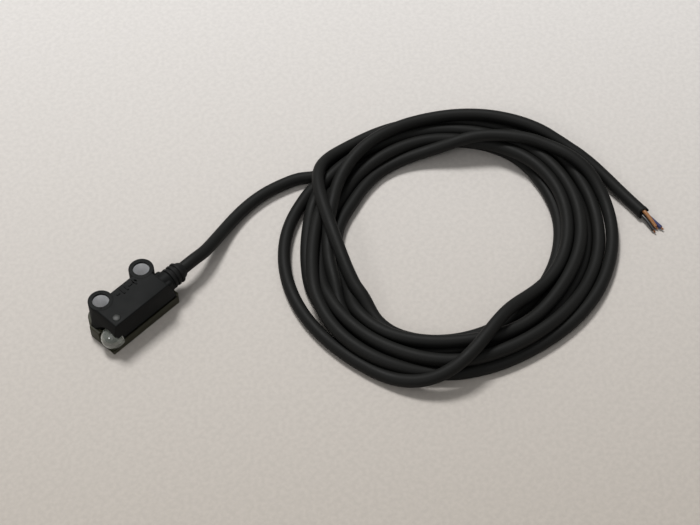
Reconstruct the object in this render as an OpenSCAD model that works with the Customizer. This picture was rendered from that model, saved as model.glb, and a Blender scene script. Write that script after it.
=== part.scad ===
// Miniature photoelectric sensor: the receiving head of a pair, with two mounting holes and a fixed lead.
// Millimetres. +X is the way the lens looks, +Z is up, and the origin is at the bottom centre of the head.

/* [Case] */
// Length of the base cover, from its nose edge to its tail edge
base_l = 16.6; // [13.8:0.1:20]
// Width from the line of the mounting holes to the flat side
case_w = 6.6; // [6.2:0.1:8]
// Height of the whole head
case_h = 7.5; // [7.2:0.1:9.5]
// Height of the base cover
base_h = 2.2; // [1.9:0.1:2.7]
// Thickness of the base cover's floor
base_floor = 0.8; // [0.5:0.1:1]
// Wall of the case and of the base cover
wall = 0.7; // [0.5:0.05:0.85]
// Distance that the nose leans back between the base cover and the top
nose_rake = 1.2; // [0:0.1:1.5]
// Distance that the tail leans forward between the base cover and the top
tail_rake = 1.9; // [0:0.1:2.3]
// Step from the base cover's edge in to the case, at the nose and at the tail
base_lip = 0.25; // [0.05:0.05:0.4]
// Thickness of the flat seal between the base cover and the case
seal_t = 0.15; // [0.1:0.05:0.3]

/* [Mounting holes] */
// Bore of each mounting hole, for an M3 screw
hole_d = 3.2; // [2.6:0.02:3.9]
// Distance between the two mounting holes
hole_pitch = 10.2; // [8.5:0.1:12.3]
// Distance from the base cover's nose edge to the first mounting hole
hole_inset = 3.6; // [3:0.1:4.4]
// Wall of each metal sleeve
sleeve_wall = 0.2; // [0.1:0.05:0.4]
// Wall of the plastic boss around each sleeve
boss_wall = 0.6; // [0.4:0.05:0.75]
// Distance that the base cover's ear stands out from the boss
ear_step = 0.5; // [0.2:0.1:0.7]

/* [Lens] */
// Diameter of the front lens
lens_d = 4.4; // [3.7:0.1:5.3]
// Distance that the lens stands out from the base cover's nose edge
lens_out = 0.7; // [0.3:0.1:1.2]
// Length of the lens barrel behind its round front
lens_barrel = 1.1; // [0.8:0.1:1.4]
// Distance that the lens stands out from the head's flat side
lens_side = 0.4; // [0:0.05:0.6]
// Plastic left under the lens
lens_low = 0.15; // [0.1:0.05:0.4]
// Width of the slit in the mask
slit_w = 0.8; // [0.4:0.1:1.2]
// Diameter of the indicator window
window_d = 1.5; // [1:0.1:2]

/* [Board] */
// Height of the circuit board's underside above the bottom of the head
board_z = 3; // [2.8:0.1:3.2]
// Thickness of the circuit board
board_t = 0.6; // [0.4:0.1:0.8]

/* [Cable] */
// Diameter of the cable's jacket
cable_d = 2.5; // [2:0.1:3]
// Diameter of one insulated core
core_d = 0.75; // [0.6:0.05:0.9]
// Diameter of the bare copper in a core
copper_d = 0.36; // [0.3:0.02:0.44]
// Length of the strain relief behind the base cover
relief_l = 3.9; // [3.2:0.1:5]
// Wall of the strain relief's neck
relief_wall = 0.35; // [0.25:0.05:0.45]
// Length of the jacket stripped off at the free end, to the end of the brown core
strip_l = 4.6; // [3:0.2:10]

/* [Coil] */
// Outer diameter of the coiled cable
coil_od = 70; // [68:1:72]
// Inner diameter of the coiled cable
coil_id = 42; // [38:1:48]
// Height of the coiled cable
coil_h = 7.6; // [5:0.1:9]

/* [Hidden] */
$fn = 48;

gap = 0.05;        // clearance between fitted pieces
fit = 0.02;        // clearance between a round piece and its bore
over = 1;          // how far a cut runs past the solid it cuts
cut = 0.01;        // the same, where a longer cut would reach another piece
black = "#26282a";

// Radii that the fitted pieces share
hole_r = hole_d / 2;
sleeve_r = hole_r + sleeve_wall;
boss_r = sleeve_r + fit + boss_wall;
ear_r = boss_r + ear_step;
lens_r = lens_d / 2;
cable_r = cable_d / 2;
core_r = core_d / 2;
neck_r = cable_r + fit + relief_wall;
flange_lip = 0.35;
flange_r = neck_r + flange_lip;
socket_wall = 0.48;
socket_r = neck_r + fit + socket_wall;

// Places along X
head_l = lens_out + base_l + relief_l;
nose_x = head_l / 2 - lens_out;
tail_x = nose_x - base_l;
exit_x = tail_x - relief_l;
hole_x = [nose_x - hole_inset, nose_x - hole_inset - hole_pitch];
lens_x = nose_x + lens_out - lens_r;
barrel_x = lens_x - lens_barrel;
mask_t = 0.15;
mask_x = barrel_x - gap - mask_t;
holder_l = 1.3;
holder_x = mask_x - gap - holder_l;
chip_t = 0.8;
chip_x = holder_x - gap - chip_t;
board_x1 = chip_x - gap;
window_x = nose_x - base_lip - nose_rake - wall - gap - window_d / 2;

// Places along Y
hole_y = ear_r - (ear_r + case_w) / 2;
side_y = hole_y + case_w;
lens_y = side_y + lens_side - lens_r;
board_side = 0.1;
board_y0 = hole_y + boss_r + 2.5 * board_side;
board_y1 = side_y - wall - board_side;
board_my = (board_y0 + board_y1) / 2;
cable_y = max(side_y - wall - gap - flange_r, hole_y + boss_r + gap + cable_r);
window_y = side_y - wall - gap - window_d / 2;

// Places along Z
case_z = base_h + seal_t;
roof_z = case_h - wall;
lens_z = lens_low + gap + lens_r;
board_top = board_z + board_t;
cable_z = case_z + gap + socket_r;

// Inside face of the leaning tail wall at a height
function tail_in(z) = tail_x + base_lip + wall + tail_rake * (z - case_z) / (case_h - case_z);
socket_x = tail_in(cable_z + neck_r) + 2 * gap;
socket_out = 0.3;
flange_x = socket_x + gap;
flange_t = 0.6;
clamp_x = flange_x + flange_t + gap;
clamp_l = 0.6;
clamp_wall = 0.3;
jacket_out = 0.3;
jacket_x = clamp_x + clamp_l + jacket_out;
core_reach = 1.2;
board_x0 = jacket_x + core_reach;
pad_in = 0.2;
solder_r = 0.36;
core_x = board_x0 + pad_in;
core_z = board_top + core_r + fit;
core_pitch = core_d + gap;

// Small parts on the board, one row behind the other
led_size = [1, 0.6, 0.5];
row_gap = 0.2;
led_x1 = board_x1 - row_gap;
led_apart = 0.72;
cap_size = [0.5, 0.55, 0.5];
cap_apart = 0.85;
cap_x = led_x1 - led_size[0] - row_gap - cap_size[0];
ic_size = [2, 2, 0.8];
ic_x = cap_x - row_gap - ic_size[0];
transistor_size = [0.55, 1.3, 0.6];
small_x = ic_x - row_gap - transistor_size[0];
resistor_size = [0.5, 0.3, 0.25];
resistor_apart = 0.5;
shield_t = 0.12;
shield_side = 0.08;
shield_room = 0.3;
shield_top = board_top + ic_size[2] + shield_room;

// The lens's mask and holder, the light guide, and the base cover's posts
lens_seat = 0.45;
holder_half = min(lens_r - lens_seat, side_y - wall - gap - lens_y);
holder_wall = 0.3;
mask_r = holder_half;
chip_in = 0.25;
chip_w = 2 * (holder_half - chip_in);
guide_drop = 1.2;
guide_z = roof_z - guide_drop;
guide_t = 0.8;
post_r = 0.35;
post_in = 0.5;
sleeve_bevel = 0.12;

// The strain relief's ribs
rib_r = neck_r + 0.5;
groove_r = neck_r + 0.2;
rib_l = 0.6;
rib_step = 0.95;
ribs = 3;
lip_r = cable_r + 0.15;

// The cable's route where it isn't coiled: points on its centreline
coil_c = [-52, 33];
coil_round = 2.4;
down = cable_r;
lead_route = [[exit_x, cable_y, cable_z], [exit_x - 3, cable_y, cable_z], [-17, 1.6, down + 2.45],
              [-21, 0.4, down + 1.35], [-25, -0.8, down + 0.45], [-29, -1.6, down + 0.1], [-33, -1.9, down],
              [-37, -1.6, down], [-41, -0.6, down], [-44, 0.6, down]];
tail_route = [[-85.4, 34, down + 2.75], [-86, 38, down + 2.25], [-86.2, 42, down + 1.45],
              [-85.9, 46, down + 0.75], [-85.3, 50, down + 0.25], [-84.6, 54, down], [-84, 57, down]];
tail_end = tail_route[len(tail_route) - 1];
tail_run = tail_end - tail_route[len(tail_route) - 2];

// A tube swept along a route, with one ring at each of its points
ring_sides = 8;
function unit(v) = v / norm(v);
function heading(route, i) = unit(route[min(i + 1, len(route) - 1)] - route[max(i - 1, 0)]);
function ring(route, i, r) =
    let (d = heading(route, i), side = unit(cross(d, [0, 0, 1])), up = cross(side, d))
    [for (k = [0 : ring_sides - 1]) route[i] + r * (cos(360 * (k + 0.5) / ring_sides) * side
                                                    + sin(360 * (k + 0.5) / ring_sides) * up)];

module tube(route, r) {
    n = len(route);
    points = [for (i = [0 : n - 1]) each ring(route, i, r)];
    walls = [for (i = [0 : n - 2], k = [0 : ring_sides - 1])
             [i * ring_sides + k, i * ring_sides + (k + 1) % ring_sides,
              (i + 1) * ring_sides + (k + 1) % ring_sides, (i + 1) * ring_sides + k]];
    first = [for (k = [ring_sides - 1 : -1 : 0]) k];
    last = [for (k = [0 : ring_sides - 1]) (n - 1) * ring_sides + k];
    polyhedron(points, concat([first, last], walls));
}

// A block given by its low corner and its high corner
module block(low, high) {
    translate(low) cube(high - low);
}

// A cylinder along X from x0 to x1
module rod_x(x0, x1, y, z, r) {
    translate([x0, y, z]) rotate([0, 90, 0]) cylinder(h = x1 - x0, r = r);
}

// Upright cylinders at both mounting holes
module at_holes(z0, z1, r) {
    for (x = hole_x) translate([x, hole_y, z0]) cylinder(h = z1 - z0, r = r);
}

// The space that inner pieces keep clear of: the bosses and a small gap
module boss_room() {
    at_holes(0, case_h, boss_r + gap);
}

// A prism across the head with leaning ends, inset by t from the case's outside
module leaning_block(t, z1) {
    x0 = tail_x + base_lip + t;
    x1 = nose_x - base_lip - t;
    rise = case_h - case_z;
    share = (z1 - case_z) / rise;
    profile = [[x0, case_z], [x1, case_z], [x1 - nose_rake * share, z1], [x0 + tail_rake * share, z1]];
    translate([0, side_y - t, 0]) rotate([90, 0, 0]) linear_extrude(case_w - 2 * t) polygon(profile);
}

// The round opening that the lens looks out of, shared by the case and the base cover
module lens_opening() {
    rod_x(barrel_x - gap, nose_x + over, lens_y, lens_z, lens_r + gap);
}

// Black moulded shell with half-round bosses and a socket for the strain relief
module upper_case() {
    color(black) difference() {
        union() {
            difference() {
                leaning_block(0, case_h);
                translate([0, 0, -cut]) leaning_block(wall, roof_z);
            }
            at_holes(case_z, case_h, boss_r);
            rod_x(tail_x - socket_out, socket_x, cable_y, cable_z, socket_r);
        }
        at_holes(0, case_h + over, sleeve_r + fit);
        lens_opening();
        rod_x(tail_x - over, socket_x + over, cable_y, cable_z, neck_r + fit);
        window_hole();
    }
}

module window_hole() {
    translate([window_x, window_y, roof_z - over]) cylinder(h = wall + 2 * over, d = window_d + 2 * fit);
}

// Smoked clear base cover: a tray with two ears and four board posts
module base_cover() {
    color("#4a4d40", 0.8) difference() {
        union() {
            difference() {
                union() {
                    block([tail_x, hole_y, 0], [nose_x, side_y, base_h]);
                    at_holes(0, base_h, ear_r);
                }
                difference() {
                    block([tail_x + wall + base_lip, hole_y + wall, base_floor],
                          [nose_x - wall - base_lip, side_y - wall, base_h + over]);
                    at_holes(0, base_h + over, boss_r);
                }
            }
            for (x = [board_x0 + post_in, board_x1 - post_in], y = [board_y0 + post_in, board_y1 - post_in])
                translate([x, y, base_floor - gap]) cylinder(h = board_z - base_floor, r = post_r);
        }
        at_holes(-over, base_h + over, sleeve_r + fit);
        lens_opening();
    }
}

// Flat seal on the rim between the base cover and the case
module joint_seal() {
    color("#3a3a38") difference() {
        union() {
            block([tail_x + base_lip, hole_y, base_h], [nose_x - base_lip, side_y, case_z]);
            at_holes(base_h, case_z, boss_r);
        }
        difference() {
            block([tail_x + wall + base_lip, hole_y + wall, base_h - over],
                  [nose_x - wall - base_lip, side_y - wall, case_z + over]);
            at_holes(0, case_h, boss_r);
        }
        at_holes(0, case_h, sleeve_r + fit);
        lens_opening();
    }
}

// Rolled metal sleeve, from the base to the top, that carries the screw's clamping load
module sleeve(x) {
    r0 = hole_r;
    r1 = sleeve_r;
    b = sleeve_bevel;
    profile = [[r0 + b, 0], [r1, 0], [r1, case_h], [r0 + b, case_h], [r0, case_h - b], [r0, b]];
    color("#c9c6bd") translate([x, hole_y, 0]) rotate_extrude() polygon(profile);
}

module front_sleeve() {
    sleeve(hole_x[0]);
}

module rear_sleeve() {
    sleeve(hole_x[1]);
}

// Clear lens: a half ball in front of a short barrel
module front_lens() {
    color("#dfe6e4", 0.5) difference() {
        union() {
            intersection() {
                translate([lens_x, lens_y, lens_z]) sphere(r = lens_r);
                block([lens_x, lens_y - 2 * lens_r, lens_z - 2 * lens_r],
                      [lens_x + 2 * lens_r, lens_y + 2 * lens_r, lens_z + 2 * lens_r]);
            }
            rod_x(barrel_x, lens_x, lens_y, lens_z, lens_r);
        }
        boss_room();
    }
}

// Thin mask behind the lens with an upright slit
module slit_mask() {
    color("#303030") difference() {
        rod_x(mask_x, mask_x + mask_t, lens_y, lens_z, mask_r);
        block([mask_x - over, lens_y - slit_w / 2, lens_z - mask_r / 2],
              [mask_x + over, lens_y + slit_w / 2, lens_z + mask_r / 2]);
        boss_room();
    }
}

// Black block that holds the mask and the receiving chip on the lens's axis
module receiver_holder() {
    color("#1c1c1c") difference() {
        block([holder_x, lens_y - holder_half, base_floor + gap],
              [holder_x + holder_l, lens_y + holder_half, lens_z + mask_r]);
        rod_x(holder_x - over, holder_x + holder_l + over, lens_y, lens_z, holder_half - holder_wall);
        boss_room();
    }
}

// Receiving chip in clear resin, upright behind the holder
module receiver_chip() {
    color("#2b1d2e") block([chip_x, lens_y - chip_w / 2, lens_z - chip_w / 2],
                           [chip_x + chip_t, lens_y + chip_w / 2, lens_z + chip_w / 2]);
}

// Indicator window: a domed light guide from over the two lamps to the top face
module indicator_window() {
    color("#e8ebe6", 0.6) {
        translate([window_x, window_y, guide_z]) cylinder(h = case_h - guide_z, d = window_d);
        translate([window_x, window_y, case_h]) intersection() {
            translate([0, 0, -window_d]) sphere(r = window_d * sqrt(1.25));
            cylinder(h = window_d, d = window_d);
        }
        block([led_x1 - led_size[0], window_y - window_d / 2, guide_z],
              [window_x, window_y + window_d / 2, guide_z + guide_t]);
        block([led_x1 - led_size[0], window_y - window_d / 2, board_top + led_size[2] + gap],
              [led_x1, window_y + window_d / 2, guide_z]);
    }
}

// A small lamp on the board, under the light guide
module led(y) {
    block([led_x1 - led_size[0], y - led_size[1] / 2, board_top],
          [led_x1, y + led_size[1] / 2, board_top + led_size[2]]);
}

module output_led() {
    color("#f2a23c") led(window_y - led_apart / 2);
}

module stability_led() {
    color("#9fd08c") led(window_y + led_apart / 2);
}

// Circuit board, cut back around the rear boss
module circuit_board() {
    color("#2f6b46") difference() {
        block([board_x0, board_y0, board_z], [board_x1, board_y1, board_top]);
        boss_room();
    }
}

// Row of small parts on the board
module on_board(x0, size, ys) {
    for (y = ys)
        block([x0, y - size[1] / 2, board_top], [x0 + size[0], y + size[1] / 2, board_top + size[2]]);
}

module chip_capacitors() {
    color("#a68a5b") on_board(cap_x, cap_size, [board_my - cap_apart, board_my, board_my + cap_apart]);
}

module control_chip() {
    color("#202124") on_board(ic_x, ic_size, [board_my]);
}

module output_transistor() {
    color("#2a2a2c") on_board(small_x, transistor_size, [board_y1 - row_gap - transistor_size[1] / 2]);
}

module chip_resistors() {
    first_y = board_y0 + row_gap + resistor_size[1] / 2;
    color("#1f1f22") on_board(small_x, resistor_size, [first_y, first_y + resistor_apart]);
}

// Folded tinplate cover over the control chip
module noise_shield() {
    x0 = ic_x - shield_side;
    x1 = ic_x + ic_size[0] + shield_side;
    y0 = board_y0 + board_side;
    y1 = board_y1 - board_side;
    color("#b9bcc0") difference() {
        block([x0, y0, board_top], [x1, y1, shield_top + shield_t]);
        block([x0 - over, y0 + shield_t, board_top - over], [x1 + over, y1 - shield_t, shield_top]);
    }
}

// Crimped ring that locks the cable's jacket inside the case
module cable_clamp() {
    color("#b8b6ae") difference() {
        rod_x(clamp_x, clamp_x + clamp_l, cable_y, cable_z, cable_r + clamp_wall);
        rod_x(clamp_x - over, clamp_x + clamp_l + over, cable_y, cable_z, cable_r + fit);
        boss_room();
    }
}

// The strain relief's flange, with a flat wherever the side wall or the roof is nearer than its rim
module relief_flange() {
    intersection() {
        rod_x(flange_x, flange_x + flange_t, cable_y, cable_z, flange_r);
        block([flange_x - over, hole_y, case_z], [flange_x + over, side_y - wall - gap, roof_z - gap]);
    }
}

// Ribbed rubber strain relief, with a flange inside the case and a tapered end
module strain_relief() {
    collar_x = tail_x - socket_out - gap;
    taper_x = collar_x - ribs * rib_step + (rib_step - rib_l);
    color("#1d1e1f") difference() {
        union() {
            rod_x(taper_x, flange_x, cable_y, cable_z, neck_r);
            relief_flange();
            rod_x(taper_x, collar_x, cable_y, cable_z, groove_r);
            for (i = [0 : ribs - 1])
                rod_x(collar_x - rib_l - i * rib_step, collar_x - i * rib_step, cable_y, cable_z, rib_r);
            translate([exit_x, cable_y, cable_z]) rotate([0, 90, 0])
                cylinder(h = taper_x - exit_x, r1 = lip_r, r2 = groove_r);
        }
        rod_x(exit_x - over, flange_x + flange_t + over, cable_y, cable_z, cable_r + fit);
        boss_room();
    }
}

// The cable's jacket where it passes through the strain relief
module cable_entry() {
    color("#222324") rod_x(exit_x, jacket_x, cable_y, cable_z, cable_r);
}

// One insulated core from the end of the jacket to its pad, side = -1, 0 or 1
module inner_core(side) {
    rod_x(jacket_x, core_x, cable_y + side * core_pitch, core_z, core_r);
}

module brown_core() {
    color("#7a4a24") inner_core(1);
}

module blue_core() {
    color("#2b4fa0") inner_core(0);
}

module black_core() {
    color("#1b1b1b") inner_core(-1);
}

// Solder over the bared end of each inner core, on its pad
module solder_joints() {
    color("#c4c6c8") for (side = [-1 : 1])
        intersection() {
            translate([core_x + solder_r + fit, cable_y + side * core_pitch, board_top]) sphere(r = solder_r);
            block([core_x, side_y - 2 * case_w, board_top], [board_x1, side_y, case_h]);
        }
}

// The cable from the strain relief to the coil
module cable_lead() {
    color("#232425") difference() {
        tube(lead_route, cable_r);
        coil_ring();
    }
}

// Outer shape of the cable's coiled turns
module coil_ring() {
    r0 = coil_id / 2;
    r1 = coil_od / 2;
    translate([coil_c[0], coil_c[1], 0]) rotate_extrude($fn = 96) {
        translate([r0 + coil_round, 0]) square([r1 - r0 - 2 * coil_round, coil_h]);
        translate([r0, coil_round]) square([r1 - r0, coil_h - 2 * coil_round]);
        for (x = [r0 + coil_round, r1 - coil_round], z = [coil_round, coil_h - coil_round])
            translate([x, z]) circle(r = coil_round, $fn = 32);
    }
}

module cable_coil() {
    color("#262728") coil_ring();
}

// The cable from the coil to its cut end
module cable_tail() {
    color("#232425") difference() {
        tube(tail_route, cable_r);
        coil_ring();
    }
}

// The three cores beyond the cut jacket: place across and up from the cable's centre, turn, and length
core_off = core_r + gap;
brown_end = [0, 0.9 * core_d - core_off, 0, strip_l];
blue_end = [core_off, -core_off, 3, strip_l + 1];
black_end = [-core_off, -core_off, -3, strip_l + 0.4];
tip_l = 0.6;

// A round rod along one of those cores, from a distance beyond the jacket
module end_rod(core, from, l, r) {
    translate(tail_end) rotate([0, 0, atan2(tail_run[1], tail_run[0])])
        translate([gap, core[0], core[1]]) rotate([0, 90, core[2]])
            translate([0, 0, from]) cylinder(h = l, r = r, $fn = 24);
}

module end_core(core) {
    end_rod(core, 0, core[3], core_r);
}

module brown_core_end() {
    color("#9a5a26") end_core(brown_end);
}

module blue_core_end() {
    color("#3a4f9c") end_core(blue_end);
}

module black_core_end() {
    color("#1a1a1a") end_core(black_end);
}

// Bare copper that shows at the end of each core
module copper_tips() {
    color("#b87a4a") for (core = [brown_end, blue_end, black_end])
        end_rod(core, core[3], tip_l, copper_d / 2);
}

upper_case();
base_cover();
joint_seal();
front_sleeve();
rear_sleeve();
front_lens();
slit_mask();
receiver_holder();
receiver_chip();
indicator_window();
output_led();
stability_led();
circuit_board();
control_chip();
output_transistor();
chip_capacitors();
chip_resistors();
noise_shield();
cable_clamp();
strain_relief();
cable_entry();
brown_core();
blue_core();
black_core();
solder_joints();
cable_lead();
cable_coil();
cable_tail();
brown_core_end();
blue_core_end();
black_core_end();
copper_tips();
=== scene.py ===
"""Looks of a miniature photoelectric sensor head with a coiled lead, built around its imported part."""
import math

import bmesh
import bpy
import numpy as np
from mathutils import Matrix, Vector


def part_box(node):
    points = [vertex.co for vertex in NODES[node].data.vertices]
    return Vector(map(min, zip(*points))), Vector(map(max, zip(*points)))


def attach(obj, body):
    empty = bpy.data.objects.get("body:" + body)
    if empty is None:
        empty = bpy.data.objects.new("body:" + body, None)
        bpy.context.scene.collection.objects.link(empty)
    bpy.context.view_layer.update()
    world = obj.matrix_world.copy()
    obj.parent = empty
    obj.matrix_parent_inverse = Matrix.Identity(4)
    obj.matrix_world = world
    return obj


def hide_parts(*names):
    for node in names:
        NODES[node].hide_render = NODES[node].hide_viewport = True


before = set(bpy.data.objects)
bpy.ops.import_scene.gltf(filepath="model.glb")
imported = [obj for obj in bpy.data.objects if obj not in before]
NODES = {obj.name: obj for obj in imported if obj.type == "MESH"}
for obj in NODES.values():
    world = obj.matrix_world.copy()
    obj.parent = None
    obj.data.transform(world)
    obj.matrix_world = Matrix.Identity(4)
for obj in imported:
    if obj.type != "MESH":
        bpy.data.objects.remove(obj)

bl_info = {
    "name": "Miniature Photoelectric Sensor",
    "version": (1, 0, 0),
    "blender": (4, 5, 0),
    "location": "View3D > Sidebar > Sensor",
    "description": "Models a miniature sensor head with its lens, sleeves, strain relief and coiled lead",
    "category": "Add Mesh",
}

MM = 0.001


def box_mm(node):
    """Lowest and highest corner of a part's node, in millimetres."""
    low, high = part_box(node)
    return low / MM, high / MM


def linear(code):
    """An sRGB hex colour as linear red, green and blue."""
    parts = [int(code[i:i + 2], 16) / 255 for i in (1, 3, 5)]
    return tuple(c / 12.92 if c <= 0.04045 else ((c + 0.055) / 1.055) ** 2.4 for c in parts)


# ---------------------------------------------------------------------------------------------------------
# Sizes and colours that a user would change
# ---------------------------------------------------------------------------------------------------------

def size(name, about, default, low=0.0, high=200.0):
    """A length in millimetres for the sidebar."""
    return bpy.props.FloatProperty(name=name, description=about, default=default, min=low, max=high, unit="NONE")


def colour(name, about, code):
    """A colour for the sidebar."""
    return bpy.props.FloatVectorProperty(name=name, description=about, default=linear(code), min=0, max=1,
                                         subtype="COLOR", size=3)


class SensorSizes(bpy.types.PropertyGroup):
    """Sizes of the head and the lead, in millimetres."""
    wall: size("Wall", "Wall of the case and of the base cover", 0.7, 0.3, 1.2)
    nose_rake: size("Nose rake", "How far the nose leans back up to the top", 1.2, 0, 3)
    tail_rake: size("Tail rake", "How far the tail leans forward up to the top", 1.9, 0, 3)
    base_lip: size("Base lip", "Step from the base cover's edge in to the case", 0.25, 0, 1)
    edge_round: size("Edge rounding", "Rounding of the moulded outer edges", 0.22, 0.05, 0.6)
    boss_wall: size("Boss wall", "Plastic around each metal sleeve", 0.6, 0.2, 1)
    ear_step: size("Ear step", "How far the base cover's ear stands out from the boss", 0.5, 0, 1)
    sleeve_wall: size("Sleeve wall", "Wall of each metal sleeve", 0.2, 0.1, 0.6)
    floor: size("Base floor", "Thickness of the base cover's floor", 0.8, 0.4, 1.2)
    cable: size("Lead diameter", "Diameter of the lead's jacket", 2.5, 1.5, 4)
    core: size("Core diameter", "Diameter of one insulated core", 0.75, 0.4, 1.2)
    copper: size("Copper diameter", "Diameter of the bare strands in a core", 0.36, 0.2, 0.6)
    window: size("Window diameter", "Diameter of the indicator window", 1.5, 0.8, 2.2)


class SensorColours(bpy.types.PropertyGroup):
    """Colours of the main finishes."""
    case: colour("Case", "Black moulded case", "#121313")
    cover: colour("Base cover", "Smoked clear base cover", "#4f4e39")
    jacket: colour("Jacket", "Lead's jacket", "#191918")
    # The sleeves' near-white colour is partly painted light: it keeps the bores bright
    sleeve: colour("Sleeves", "Nickel plate on the sleeves", "#f6f7fa")
    brown: colour("Brown core", "Insulation of the brown core", "#9a6b42")
    blue: colour("Blue core", "Insulation of the blue core", "#252b58")
    black: colour("Black core", "Insulation of the black core", "#1c1c1d")
    table: colour("Table", "Pale table top", "#d3cfcc")


def sizes():
    return bpy.context.scene.sensor_sizes


def colours():
    return bpy.context.scene.sensor_colours


# ---------------------------------------------------------------------------------------------------------
# Materials
# ---------------------------------------------------------------------------------------------------------

def add_node(material, kind, settings=None, links=None):
    """Adds a node, sets its properties and sockets by name, and links other nodes' outputs into it."""
    tree = material.node_tree
    made = tree.nodes.new(kind)
    for name, value in (settings or {}).items():
        if isinstance(name, str) and hasattr(made, name):
            setattr(made, name, value)
        else:
            made.inputs[name].default_value = value
    for name, (source, output) in (links or {}).items():
        tree.links.new(source.outputs[output], made.inputs[name])
    return made


def rgba(c):
    """A colour with full opacity."""
    return (c[0], c[1], c[2], 1.0)


def finish(name, light, dark, grain_mm, rough, bump_mm=0.0, stretch=(1, 1, 1), shader=None, detail=4.0):
    """A material whose colour, gloss and relief follow one grain of a real size in millimetres.

    light and dark are the two ends of its colour, rough the two ends of its roughness, and stretch draws the
    grain out along an axis, as on a turned or rolled surface.
    """
    made = bpy.data.materials.get(name)
    if made:
        return made
    made = bpy.data.materials.new(name)
    made.use_nodes = True
    made.node_tree.nodes.clear()
    place = add_node(made, "ShaderNodeTexCoord")
    turned = add_node(made, "ShaderNodeMapping", {"Scale": stretch}, {"Vector": (place, "Object")})
    grain = add_node(made, "ShaderNodeTexNoise", {"Scale": 1 / (grain_mm * MM), "Detail": detail, "Roughness": 0.6},
                     {"Vector": (turned, "Vector")})
    cloud = add_node(made, "ShaderNodeTexNoise", {"Scale": 1 / (12 * grain_mm * MM), "Detail": 2.0},
                     {"Vector": (place, "Object")})
    both = add_node(made, "ShaderNodeMath", {"operation": "MULTIPLY_ADD", 1: 0.6, 2: -0.05},
                    {0: (grain, "Fac")})
    mixed = add_node(made, "ShaderNodeMath", {"operation": "MULTIPLY_ADD", 1: 0.5},
                     {0: (cloud, "Fac"), 2: (both, "Value")})
    tint = add_node(made, "ShaderNodeMix", {"data_type": "RGBA", 6: rgba(dark), 7: rgba(light)},
                    {0: (mixed, "Value")})
    gloss = add_node(made, "ShaderNodeMapRange", {"From Min": 0.25, "From Max": 0.75, "To Min": rough[0],
                                                  "To Max": rough[1]}, {"Value": (mixed, "Value")})
    links = {"Base Color": (tint, 2), "Roughness": (gloss, "Result")}
    if bump_mm:
        relief = add_node(made, "ShaderNodeBump", {"Strength": 1.0, "Distance": bump_mm * MM},
                          {"Height": (grain, "Fac")})
        links["Normal"] = (relief, "Normal")
    surface = add_node(made, "ShaderNodeBsdfPrincipled", shader or {}, links)
    add_node(made, "ShaderNodeOutputMaterial", None, {"Surface": (surface, "BSDF")})
    return made


def shade(c, share):
    """The same colour, lighter or darker."""
    return tuple(min(1.0, v * share) for v in c)


def moulded_black_plastic():
    """Glass-filled plastic from a spark-eroded mould: a fine matt grain that greys softly in the light."""
    c = colours().case
    return finish("glass_filled_polymer_moulded", shade(c, 1.25), shade(c, 0.75), 0.22, (0.5, 0.66), 0.008,
                  shader={"IOR": 1.5, "Specular IOR Level": 0.1})


def smoked_clear_plastic():
    """Smoked polyarylate, moulded glossy: dark green-brown in depth, paler where it is thin."""
    c = colours().cover
    return finish("smoked_polyarylate_moulded", shade(c, 1.1), shade(c, 0.85), 1.5, (0.5, 0.62), 0.002,
                  shader={"IOR": 1.45, "Transmission Weight": 0.62, "Specular IOR Level": 0.1})


def lens_acrylic():
    """Clear optical acrylic, polished in the mould: bright edges and a clear view of the dark slit behind."""
    return finish("optical_acrylic_polished", linear("#e6ebe2"), linear("#b9c0b4"), 0.5, (0.02, 0.06), 0.0,
                  shader={"IOR": 1.49, "Transmission Weight": 0.84, "Coat Weight": 1.0, "Coat Roughness": 0.02,
                          "Coat IOR": 1.6})


def nickel_plate():
    """Rolled steel sleeve, blasted and nickel plated: a pale satin skin, partly painted light, whose near-white,
    half-diffuse colour keeps it light down the bore where it would be shaded.
    """
    c = colours().sleeve
    # Partly painted light: the near-white colour with a low metallic keeps the bore's wall bright, standing in for
    # light from below
    return finish("nickel_plated_steel_rolled", shade(c, 1.1), shade(c, 0.86), 0.3, (0.32, 0.42), 0.004,
                  stretch=(1, 1, 0.25), shader={"Metallic": 0.48})


def jacket_vinyl():
    """Soft oil-resistant vinyl, extruded matt: a dull skin with a broad, weak shine along the top."""
    c = colours().jacket
    return finish("vinyl_jacket_extruded_matt", shade(c, 1.2), shade(c, 0.72), 0.35, (0.5, 0.66), 0.012,
                  shader={"IOR": 1.5, "Specular IOR Level": 0.14})


def relief_elastomer():
    """Moulded soft elastomer: the dullest black of the head, with a slight bloom."""
    return finish("elastomer_moulded_matt", linear("#1d1d1d"), linear("#121212"), 0.3, (0.5, 0.7), 0.01,
                  shader={"IOR": 1.5, "Specular IOR Level": 0.14})


# ---------------------------------------------------------------------------------------------------------
# Building with bmesh, in millimetres
# ---------------------------------------------------------------------------------------------------------

def finished(bm, name, material, smooth_angle=35.0):
    """Turns a bmesh in millimetres into a finished piece in metres that rides on the head."""
    mesh = bpy.data.meshes.new(name)
    bm.to_mesh(mesh)
    bm.free()
    return finish_piece(bpy.data.objects.new(name, mesh), material, smooth_angle)


def finish_piece(piece, material, smooth_angle=35.0):
    """Scales a piece's mesh to metres, shades it, gives it its material and ties it to the head."""
    piece.data.transform(Matrix.Scale(MM, 4))
    piece.data.materials.clear()
    piece.data.materials.append(material)
    if piece.name not in bpy.context.scene.collection.objects:
        bpy.context.scene.collection.objects.link(piece)
    piece.data.shade_smooth()
    piece.data.set_sharp_from_angle(angle=math.radians(smooth_angle))
    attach(piece, "root")
    return piece


def blank(bm, name):
    """An object in millimetres that later cuts or joins another."""
    mesh = bpy.data.meshes.new(name)
    bm.to_mesh(mesh)
    bm.free()
    made = bpy.data.objects.new(name, mesh)
    bpy.context.scene.collection.objects.link(made)
    return made


def round_edges(bm, edges, width, segments=3):
    """Rounds the given edges."""
    bmesh.ops.bevel(bm, geom=list(edges), offset=width, offset_type="OFFSET", affect="EDGES", segments=segments,
                    profile=0.5, material=-1, clamp_overlap=True)


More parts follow.
